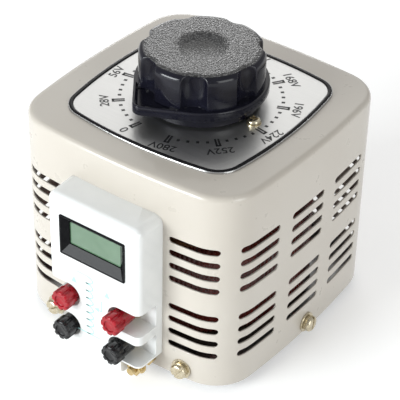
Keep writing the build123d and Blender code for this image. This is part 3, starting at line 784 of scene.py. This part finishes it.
def knob_top():
    """Pebbled disc with a dished middle, drawn as rings that pass from the fluted rim to circles."""
    base = PLATE_TOP
    columns = GRIP_COLUMNS // 2
    rim_rings = 30
    lumps = 1100  # per metre
    lump_tall = 0.09
    verts = []
    for k in range(rim_rings):
        t = k / (rim_rings - 1)
        for i in range(columns):
            angle = 2 * math.pi * i / columns
            edge = grip_radius(angle, DISC_IN)
            r = edge + (DISH_LIP - edge) * t
            z = DISC_Z + 0.42 * smooth(0, 0.12, t) + 0.08 * math.sin(math.pi * t)
            verts.append([*polar(r, angle), z])
    for r, z in ((13.4, 28.34), (12.8, 28.24), (12.2, 28.08), (11.6, 27.86), (11.0, 27.58), (10.4, 27.24),
                 (9.7, 26.86), (8.9, 26.52), (7.9, 26.24), (6.6, 26.08), (5.0, 26.0), (3.4, 25.98),
                 (1.8, 25.98), (0.7, 25.98)):
        for i in range(columns):
            verts.append([*polar(r * MM, 2 * math.pi * i / columns), z])
    rows = len(verts) // columns
    placed = []
    for n, (x, y, z) in enumerate(verts):
        depth = 0.0 if n < columns else lump_tall * noise.noise(Vector((x, y, 0)) * lumps)
        placed.append((x, y + AXIS_Y, base + (z + depth) * MM))
    faces = grid_faces(rows, columns)
    last = (rows - 1) * columns
    faces.append(tuple(last + i for i in range(columns)))
    low = len(placed)
    for i in range(columns):
        x, y, _ = verts[i]
        placed.append((x * 0.97, y * 0.97 + AXIS_Y, base + 24.0 * MM))
    faces += [(low + i, low + (i + 1) % columns, (i + 1) % columns, i) for i in range(columns)]
    faces.append(tuple(reversed(range(low, low + columns))))
    mesh = mesh_of("knob_top", placed, faces)
    mesh.set_sharp_from_angle(angle=math.radians(65))
    return mesh


# The pointer's sides leave the skirt along tangents that would meet POINTER_SPARE past its blunt tip.
POINTER_SPARE = 1.4 * MM
TANGENT = math.acos(SKIRT_R / (POINTER_R + POINTER_SPARE))


def skirt_radius(angle, inset):
    """Skirt outline with its pointer, moved in by inset."""
    off = abs((angle - DIAL_ZERO + math.pi) % (2 * math.pi) - math.pi)
    circle = SKIRT_R - inset
    if off > TANGENT:
        return circle
    side = circle / math.cos(TANGENT - off)
    tip = POINTER_R - inset
    blend = 0.35 * MM
    return -blend * math.log(math.exp(-(side - tip) / blend) + 1) + tip


def knob_skirt():
    """Skirt with a raised edge; where the grip comes close, the trough behind the edge is filled."""
    base = PLATE_TOP
    columns = 720
    crest = 11.1
    trough = 10.15
    near_grip = KNOB_R + 0.9 * MM
    levels = [(4.0, 1.2), (3.6, 1.2), (3.6, 6.1), (3.4, 6.3), (0.5, 6.3), (0.15, 6.4), (0.0, 6.75),
              (0.0, 10.5), (0.12, 10.9), (0.42, crest), (1.2, crest), (1.45, 11.0), (1.65, 10.3),
              (1.9, trough), (2.6, trough)]
    verts = []
    for inset, z in levels:
        for i in range(columns):
            angle = 2 * math.pi * i / columns
            if inset > 3.3 and z < 6.2:
                r = SKIRT_R - inset * MM
            else:
                r = skirt_radius(angle, inset * MM)
            height = crest if inset > 1.3 and z > 8 and r < near_grip else z
            verts.append((*polar(r, angle), base + height * MM))
    for i in range(columns):
        angle = 2 * math.pi * i / columns
        r = skirt_radius(angle, 2.6 * MM)
        height = crest if r < near_grip else trough
        verts.append((*polar(min(r, 29.0 * MM), angle), base + height * MM))
    verts = [(x, y + AXIS_Y, z) for x, y, z in verts]
    rows = len(levels) + 1
    faces = grid_faces(rows, columns)
    faces.append(tuple(reversed(range(columns))))
    faces.append(tuple((rows - 1) * columns + i for i in range(columns)))
    mesh = mesh_of("knob_skirt", verts, faces)
    mesh.set_sharp_from_angle(angle=math.radians(55))
    return mesh


place("knob_grip", knob_grip(), KNOB, "rotor", ["knob"])
place("knob_top", knob_top(), PEBBLE_GLINTS, "rotor")
place("knob_skirt", knob_skirt(), KNOB, "rotor")


# ---- screws --------------------------------------------------------------------------------------------
def driver_head(radius, tall, slot_wide, cross, place_by):
    """Domed screw head, bottom on z = 0, with a slot or a cross cut into it."""
    profile = [(0, 0), (radius * 0.96, 0), (radius, tall * 0.08), (radius, tall * 0.45)]
    for k in range(1, 7):
        a = math.pi / 2 * k / 6
        profile.append((radius * (0.62 + 0.38 * math.cos(a)), tall * (0.45 + 0.5 * math.sin(a))))
    profile += [(radius * 0.3, tall * 0.99), (0, tall)]
    head = mesh_of("head", *lathe(profile, 48))
    half = slot_wide / 2
    reach = radius * (0.62 if cross else 1.2)
    if cross:
        quarter = [(reach, -half), (reach, half), (half, half)]
        outline = [(x * c - y * d, x * d + y * c) for c, d in ((1, 0), (0, 1), (-1, 0), (0, -1))
                   for x, y in quarter]
        depth = tall * 0.35
    else:
        outline = [(-reach, -half), (reach, -half), (reach, half), (-reach, half)]
        depth = tall * 0.45
    cutter = bpy.data.objects.new("cutter", mesh_of("cutter", *prism(outline, depth, tall * 2)))
    bpy.context.collection.objects.link(cutter)
    cut = modify(head, ("BOOLEAN", {"operation": "DIFFERENCE", "object": cutter, "solver": "EXACT"}),
                 bevelled(0.09 * MM), sharp=40)
    bpy.data.objects.remove(cutter)
    return [place_by @ v.co for v in cut.vertices], [tuple(p.vertices) for p in cut.polygons]


def washer_ring(outer, inner, thick, place_by):
    soft = 0.12 * MM
    profile = [(inner, 0), (outer - soft, 0), (outer, soft), (outer, thick - soft), (outer - soft, thick),
               (inner + soft, thick), (inner, thick - soft), (inner, 0)]
    return lathe(profile, 56, place_by)


def finish_metal(name, parts, material, body, replaces):
    mesh = mesh_of(name, *joined(parts))
    mesh = modify(mesh, ("WELD", {"merge_threshold": 1e-6}), sharp=40)
    return place(name, mesh, material, body, replaces)


def out_of_cover(s, z):
    """Frame on the cover whose +Z points straight out of the wall."""
    x, y, bearing = COVER_PLAN.at(s)
    return (Matrix.Translation((x, y + AXIS_Y, z)) @ Matrix.Rotation(bearing, 4, "Z")
            @ Matrix.Rotation(math.pi / 2, 4, "Y"))


def case_screws():
    random.seed(4)
    heads = []
    rings = []
    for s in SCREW_AT:
        for sign in (1, -1):
            turn = Matrix.Rotation(random.uniform(-1.2, 1.2), 4, "Z")
            at = out_of_cover(sign * s, SCREW_Z)
            heads.append(driver_head(4.1 * MM, 2.8 * MM, 1.05 * MM, False,
                                     at @ Matrix.Translation((0, 0, 1.85 * MM)) @ turn))
            shank = [(0, -7.3 * MM), (1.98 * MM, -7.2 * MM), (1.98 * MM, 1.9 * MM), (0, 1.9 * MM)]
            heads.append(lathe(shank, 24, at))
            for outer, thick, lift in ((5.2, 0.9, 0.05), (3.9, 0.8, 1.0)):
                on = at @ Matrix.Translation((0, 0, lift * MM))
                rings.append(washer_ring(outer * MM, 2.2 * MM, thick * MM, on))
    finish_metal("case_screws", heads, ZINC, "case", ["cover_screws"])
    finish_metal("case_washers", rings, ZINC, "case", ["cover_washers"])


def plate_screws():
    heads = []
    for bearing in DIAL_SCREWS:
        x, y = polar(DIAL_SCREW_R, bearing)
        at = Matrix.Translation((x, y + AXIS_Y, PLATE_TOP + 0.5 * MM))
        turn = Matrix.Rotation(0.6 + bearing, 4, "Z")
        heads.append(driver_head(3.1 * MM, 2.25 * MM, 0.8 * MM, True, at @ turn))
        shank = [(0, -6 * MM), (1.48 * MM, -6 * MM), (1.48 * MM, 0.1 * MM), (0, 0.1 * MM)]
        heads.append(lathe(shank, 20, at))
    finish_metal("plate_screws", heads, ZINC, "case", ["dial_screws"])


case_screws()
plate_screws()


# ---- binding posts -------------------------------------------------------------------------------------
POST_R = 5.4 * MM
NOTCHES = 8


def cap_mesh(name, node):
    """Castellated screw cap on the CAD cap's own axis and length."""
    low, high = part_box(node)
    x = (low[0] + high[0]) / 2
    z = (low[2] + high[2]) / 2
    at = facing(x, high[1], z)
    long = high[1] - low[1]
    grip = long - 6.4 * MM
    columns = NOTCHES * 28

    def outline(angle, inset):
        pitch = 2 * math.pi / NOTCHES
        off = abs((angle + pitch / 2) % pitch - pitch / 2)
        notch = smooth(0.085, 0.215, abs(off - pitch / 2))
        return (POST_R - inset) - (1 - notch) * 0.85 * MM

    barrel = POST_R - 0.5 * MM
    levels = [(0.0, barrel - 0.25 * MM, False), (0.25 * MM, barrel, False), (grip - 0.25 * MM, barrel, False),
              (grip, 0.22 * MM, True), (grip + 0.3 * MM, 0.0, True), (long - 1.0 * MM, 0.0, True),
              (long - 0.45 * MM, 0.14 * MM, True), (long - 0.12 * MM, 0.5 * MM, True), (long, 0.95 * MM, True)]
    verts = []
    for height, size, gripped in levels:
        for i in range(columns):
            angle = 2 * math.pi * i / columns
            r = outline(angle, size) if gripped else size
            verts.append(at @ Vector((*polar(r, angle), height)))
    for r, height in ((3.3, 0.0), (3.05, 0.12), (2.95, 0.7), (2.75, 0.9)):
        for i in range(columns):
            verts.append(at @ Vector((*polar(r * MM, 2 * math.pi * i / columns), long - height * MM)))
    rows = len(levels) + 4
    faces = grid_faces(rows, columns)
    faces.append(tuple(reversed(range(columns))))
    faces.append(tuple((rows - 1) * columns + i for i in range(columns)))
    mesh = mesh_of(name, verts, faces)
    mesh.set_sharp_from_angle(angle=math.radians(50))
    return mesh


for side in ("left", "right"):
    for tint, material in (("red", RED), ("black", BLACK)):
        post = side + "_" + tint
        place("grip_" + post, cap_mesh("grip_" + post, "cap_" + post), material, "nut_" + post,
              ["cap_" + post])


# ---- print on the panel ----------------------------------------------------------------------------------
FACE_Y = PANEL_LO[1]


def stroke(points, wide):
    """Printed line through (x, z) points on the panel's face."""
    parts = []
    at = facing(0, FACE_Y, 0)
    for (x0, z0), (x1, z1) in zip(points, points[1:]):
        run = math.hypot(x1 - x0, z1 - z0)
        nx = -(z1 - z0) / run * wide / 2
        nz = (x1 - x0) / run * wide / 2
        parts.append(prism([(x0 - nx, z0 - nz), (x1 - nx, z1 - nz), (x1 + nx, z1 + nz), (x0 + nx, z0 + nz)],
                           0.0, PRINT, at))
    return parts


def panel_print():
    """A plain winding symbol with its tap arrow and end marks."""
    parts = []
    loops = 8
    bottom = FOOT + 17 * MM
    pitch = 4.4 * MM
    left = -4.6 * MM
    coil = []
    for k in range(loops):
        for j in range(9):
            a = -math.pi / 2 + math.pi * j / 8
            coil.append((left + 4.4 * MM * math.cos(a), bottom + pitch * (k + 0.5) + pitch / 2 * math.sin(a)))
    coil = [p for n, p in enumerate(coil) if n == 0 or math.dist(p, coil[n - 1]) > 1e-6]
    top = bottom + pitch * loops
    parts += stroke(coil, 0.75 * MM)
    parts += stroke([(left - 5.5 * MM, top), (left, top)], 0.6 * MM)
    parts += stroke([(left - 5.5 * MM, bottom), (left + 8.5 * MM, bottom)], 0.6 * MM)
    tap = FOOT + 34.7 * MM
    bend = left + 9.4 * MM
    parts += stroke([(left + 7.6 * MM, tap), (bend, tap), (bend, FOOT + 41 * MM)], 0.6 * MM)
    at = facing(0, FACE_Y, 0)
    barb = left + 7.8 * MM
    arrow = [(left + 5.0 * MM, tap), (barb, tap - 1.4 * MM), (barb, tap + 1.4 * MM)]
    parts.append(prism(arrow, 0.0, PRINT, at))
    for x in (-11.7 * MM, 8.3 * MM):
        z = FOOT + 46.5 * MM
        parts.append(prism([(x - 1.7 * MM, z - 1.8 * MM), (x + 1.7 * MM, z - 1.8 * MM), (x, z + 1.8 * MM)],
                           0.0, PRINT, at))
    mesh = mesh_of("panel_print", *joined(parts))
    mesh.polygons.foreach_set("use_smooth", [False] * len(mesh.polygons))
    return mesh


place("panel_print", panel_print(), TEAL, "case")


# ---- stage: floor, light and camera ----------------------------------------------------------------------
def stage():
    floor = mesh_of("floor", [(-6, -6, 0), (6, -6, 0), (6, 6, 0), (-6, 6, 0)], [(0, 1, 2, 3)])
    pale = plain("floor_paper", (0.90, 0.90, 0.90), (0.94, 0.94, 0.94), rough=(0.7, 0.8), grain=3, fine=60,
                 bump=0.02, Emission_Color=(1, 1, 1, 1), Emission_Strength=0.22)
    sheet = bpy.data.objects.new("floor", floor)
    floor.materials.append(pale)
    bpy.context.collection.objects.link(sheet)
    world = bpy.data.worlds.new("studio")
    bpy.context.scene.world = world
    world.use_nodes = True
    back = world.node_tree.nodes["Background"]
    back.inputs["Color"].default_value = (1, 1, 1, 1)
    back.inputs["Strength"].default_value = 0.50
    middle = Vector((0, AXIS_Y, 0.07))
    # name, position, size in metres, watts, colour
    for name, place_at, size, power, tint in (
            ("key", (-0.45, -1.20, 0.42), (0.7, 0.5), 18.6, (0.94, 0.985, 1.0)),
            ("fill", (1.05, -0.25, 0.40), (0.5, 0.6), 3.6, (0.97, 1.0, 0.99)),
            ("back", (-0.70, 1.10, 0.95), (1.5, 0.9), 3.4, (1.0, 0.99, 0.96)),
            ("rim", (-0.90, 1.20, 0.40), (0.7, 0.22), 2.9, (1.0, 1.0, 1.0))):
        light = bpy.data.lights.new(name, "AREA")
        light.shape = "RECTANGLE"
        light.size = size[0]
        light.size_y = size[1]
        light.energy = power
        light.color = tint
        lamp = bpy.data.objects.new(name, light)
        bpy.context.collection.objects.link(lamp)
        lamp.location = place_at
        lamp.rotation_euler = (Vector(place_at) - middle).to_track_quat("Z", "Y").to_euler()


def camera():
    lens = bpy.data.cameras.new("camera")
    lens.sensor_width = 36
    lens.lens = 147.51
    lens.clip_start = 0.01
    eye = bpy.data.objects.new("camera", lens)
    bpy.context.collection.objects.link(eye)
    right = Vector((0.80314051, 0.59547686, 0.01930366))
    up = Vector((-0.36436121, 0.46527595, 0.80669647))
    back = Vector((0.47138756, -0.65492412, 0.59065063))
    eye.matrix_world = Matrix((
        (right.x, up.x, back.x, 387.267 * MM),
        (right.y, up.y, back.y, AXIS_Y - 537.275 * MM),
        (right.z, up.z, back.z, FOOT + 534.721 * MM),
        (0, 0, 0, 1),
    ))
    bpy.context.scene.camera = eye


stage()
camera()
bpy.context.scene.view_settings.view_transform = "Standard"
